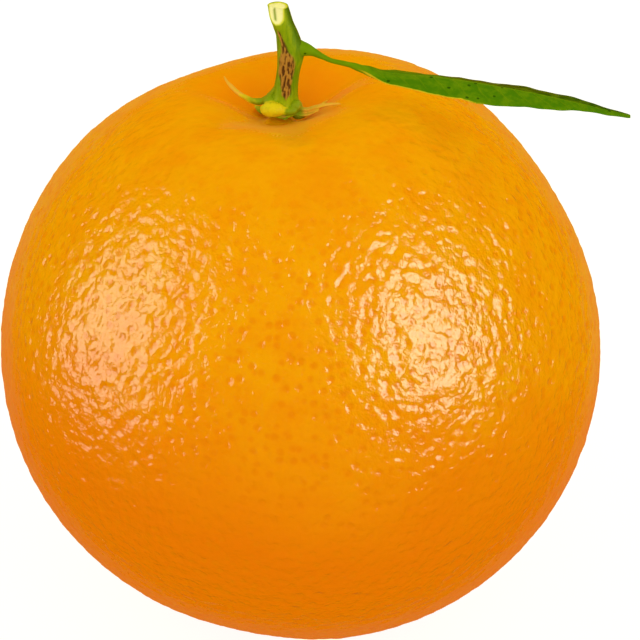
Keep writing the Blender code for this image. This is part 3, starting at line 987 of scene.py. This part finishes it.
def build_leaf(leaf, fruit):
    pole = stem_pole()
    foot = peel_heights(fruit, pole[None])[0]
    count, sides = LEAF_RINGS, LEAF_SIDES
    line = smooth_line(LEAF_LINE, count)
    out = np.linspace(LEAF_LINE[0][0], LEAF_LINE[-1][0], count)
    keys = np.array(LEAF_BLADE)
    near, far, near_slope, far_slope = (np.interp(out, keys[:, 0], column) for column in keys[:, 1:].T)
    blade = smoothstep(8.5, 12.5, out)
    angles = np.linspace(0, TURN, sides, endpoint=False)
    cosine, sine = np.cos(angles), np.sin(angles)
    rings = []
    for k, x in enumerate(out):
        y = np.where(cosine < 0, near[k], far[k]) * cosine
        size = np.abs(y)
        fall = np.where(y < 0, near_slope[k], far_slope[k]) * size**2 / (size + 0.35)
        curl = np.abs(cosine) ** 3 * (0.07 * math.sin(0.9 * x) + 0.03 * math.sin(2.3 * x + 1.0)) * blade[k]
        thick = near[k] * (1 - blade[k]) + 0.5 * leaf.thickness / MM * blade[k]
        rib = 0.28 * (1 - k / count) * np.exp(-((y / 0.4) ** 2)) * np.where(sine < 0, -1.0, -0.3)
        upright = thick * np.sign(sine) * np.abs(sine) ** (1 - 0.5 * blade[k])
        ring = np.column_stack((np.full(sides, x), y, upright - fall + curl + rib * blade[k]))
        rings.append(ring + (0, line[k, 0], line[k, 1]))
    points, faces = swept_body(rings)
    points[:, 2] += 0.05 * noise_at(points, 2.2, 1)
    piece = new_piece("orange_leaf", points * MM + (*pole, foot), faces)
    point_outwards(piece)
    along = np.concatenate((np.repeat(np.linspace(0, 1, count), sides), (0.0, 1.0)))
    across = np.concatenate((np.tile(cosine, count), (0.0, 0.0)))
    store(piece, "along", along)
    store(piece, "across", across)
    store(piece, "stalk", np.concatenate((np.repeat(1 - blade, sides), (1.0, 0.0))))
    piece.data.materials.append(leaf_material(leaf))
    stand_for(piece, "leaf")
    piece.visible_shadow = piece.visible_diffuse = False


# Stage

WORLD_LIGHT = (0.9, 0.86, 0.42)
WORLD_GLOSS = (0.8, 0.29, 0.0)
FLOOR_GREY = (0.25, 0.25, 0.25, 1)
FLOOR_GLOW = (0.48, 0.9)  # to everything else, and to the camera


def camera_axes(stage):
    """The camera's right, up and backward directions."""
    right = Vector((1, 0, 0))
    back = Vector((0, -math.cos(stage.elevation), math.sin(stage.elevation)))
    return right, back.cross(right), back


def add_camera(stage, fruit):
    right, up, back = camera_axes(stage)
    aim = Vector((0, 0, fruit_centre(fruit))) + right * stage.aim_right + up * stage.aim_up
    data = bpy.data.cameras.new("Camera")
    data.sensor_width = 36
    data.lens = data.sensor_width * stage.distance / stage.view_width
    data.clip_start = 0.01
    data.clip_end = 50
    camera = bpy.data.objects.new("Camera", data)
    camera.location = aim + back * stage.distance
    camera.rotation_euler = back.to_track_quat("Z", "Y").to_euler()
    bpy.context.scene.collection.objects.link(camera)
    bpy.context.scene.camera = camera


def add_soft_box(name, place, aim, size, radiance, colour, gloss):
    """A rectangular area light hidden from the camera, for the gloss only or for everything else."""
    data = bpy.data.lights.new(name, "AREA")
    data.shape = "RECTANGLE"
    data.size, data.size_y = size
    data.energy = radiance * math.pi * size[0] * size[1]
    data.color = colour
    light = bpy.data.objects.new(name, data)
    light.location = place
    light.rotation_euler = (Vector(place) - Vector(aim)).to_track_quat("Z", "Y").to_euler()
    light.visible_camera = False
    light.visible_diffuse = not gloss
    light.visible_glossy = gloss
    bpy.context.scene.collection.objects.link(light)


# Soft boxes: name, turn to the right of the camera and rise above it in degrees, distance, size,
# radiance, colour, and whether it lights the gloss only
SOFT_BOXES = (
    ("gloss_right", 51, 6, 0.75, (0.46, 0.6), 4.35, (0.75, 1, 0.86), True),
    ("gloss_left", -69, 7, 0.8, (0.52, 0.78), 2.45, (0.8, 0.98, 0.84), True),
    ("key", 6, 3, 0.9, (0.9, 0.7), 0.93, (1, 0.97, 0.6), False),
)


def add_lights(stage, fruit):
    """Two soft boxes that the peel mirrors, and a softer one beside the camera for everything else."""
    right, up, back = camera_axes(stage)
    middle = Vector((0, 0, fruit_centre(fruit)))
    for name, turn, rise, distance, *rest in SOFT_BOXES:
        turn, rise = math.radians(turn), math.radians(rise)
        level = right * math.sin(turn) + back * math.cos(turn)
        place = middle + (level * math.cos(rise) + up * math.sin(rise)) * distance
        add_soft_box(name, place, middle, *rest)


def add_world():
    """White to the camera, a dim warm light to everything else, and orange in the gloss."""
    world = bpy.data.worlds.new("Studio")
    world.use_nodes = True
    sheet = NodeSheet(world.node_tree)
    background = world.node_tree.nodes["Background"]
    path = sheet.add("ShaderNodeLightPath", {}).outputs
    light = sheet.mix(path["Is Glossy Ray"], WORLD_LIGHT, WORLD_GLOSS)
    sheet.feed(background.inputs["Color"], sheet.mix(path["Is Camera Ray"], light, (1, 1, 1)))
    bpy.context.scene.world = world


def add_floor(stage):
    half = stage.floor_size / 2
    corners = [(-half, -half, 0), (half, -half, 0), (half, half, 0), (-half, half, 0)]
    floor = new_piece("floor", corners, [(0, 1, 2, 3)])
    material, shader, sheet = new_material("Studio Floor")
    set_constants(shader, Base_Color=FLOOR_GREY, Roughness=0.9, Specular_IOR_Level=0.1)
    set_constants(shader, Emission_Color=(1, 1, 1, 1))
    seen = sheet.add("ShaderNodeLightPath", {}).outputs["Is Camera Ray"]
    sheet.feed(shader.inputs["Emission Strength"], sheet.remap(seen, 0.0, 1.0, *FLOOR_GLOW))
    floor.data.materials.append(material)
    floor.visible_glossy = False


def build_stage(stage, fruit):
    add_camera(stage, fruit)
    add_lights(stage, fruit)
    add_world()
    add_floor(stage)
    bpy.context.scene.view_settings.view_transform = "Standard"


# Operators, panel and registration


class ORANGE_OT_fruit(bpy.types.Operator):
    """Builds the fruit with its dimpled peel"""

    bl_idname = "orange.build_fruit"
    bl_label = "Build Fruit"

    def execute(self, context):
        build_fruit(context.scene.orange_fruit)
        return {"FINISHED"}


class ORANGE_OT_calyx(bpy.types.Operator):
    """Builds the calyx that the stem stands in"""

    bl_idname = "orange.build_calyx"
    bl_label = "Build Calyx"

    def execute(self, context):
        build_calyx(context.scene.orange_calyx, context.scene.orange_fruit)
        return {"FINISHED"}


class ORANGE_OT_stem(bpy.types.Operator):
    """Builds the cut stem"""

    bl_idname = "orange.build_stem"
    bl_label = "Build Stem"

    def execute(self, context):
        build_stem(context.scene.orange_stem, context.scene.orange_fruit)
        return {"FINISHED"}


class ORANGE_OT_leaf(bpy.types.Operator):
    """Builds the leaf and its stalk"""

    bl_idname = "orange.build_leaf"
    bl_label = "Build Leaf"

    def execute(self, context):
        build_leaf(context.scene.orange_leaf, context.scene.orange_fruit)
        return {"FINISHED"}


class ORANGE_OT_stage(bpy.types.Operator):
    """Builds the camera, lights and floor"""

    bl_idname = "orange.build_stage"
    bl_label = "Build Stage"

    def execute(self, context):
        build_stage(context.scene.orange_stage, context.scene.orange_fruit)
        return {"FINISHED"}


class ORANGE_PT_panel(bpy.types.Panel):
    """Lists the operators that build the orange"""

    bl_idname = "ORANGE_PT_panel"
    bl_label = "Sweet Orange"
    bl_space_type = "VIEW_3D"
    bl_region_type = "UI"
    bl_category = "Orange"

    def draw(self, context):
        for operator in OPERATORS:
            self.layout.operator(operator.bl_idname)
        for name in SETTINGS:
            box = self.layout.box()
            group = getattr(context.scene, name)
            for key in group.bl_rna.properties.keys():
                if key not in {"rna_type", "name"}:
                    box.prop(group, key)


OPERATORS = (ORANGE_OT_fruit, ORANGE_OT_calyx, ORANGE_OT_stem, ORANGE_OT_leaf, ORANGE_OT_stage)
SETTINGS = {
    "orange_fruit": FruitSettings,
    "orange_calyx": CalyxSettings,
    "orange_stem": StemSettings,
    "orange_leaf": LeafSettings,
    "orange_stage": StageSettings,
}


def register():
    for name, group in SETTINGS.items():
        bpy.utils.register_class(group)
        setattr(bpy.types.Scene, name, PointerProperty(type=group))
    for cls in (*OPERATORS, ORANGE_PT_panel):
        bpy.utils.register_class(cls)


def unregister():
    for cls in reversed((*OPERATORS, ORANGE_PT_panel)):
        bpy.utils.unregister_class(cls)
    for name, group in SETTINGS.items():
        delattr(bpy.types.Scene, name)
        bpy.utils.unregister_class(group)


def main():
    register()
    bpy.ops.orange.build_fruit()
    bpy.ops.orange.build_calyx()
    bpy.ops.orange.build_stem()
    bpy.ops.orange.build_leaf()
    bpy.ops.orange.build_stage()


if __name__ == "__main__":
    main()
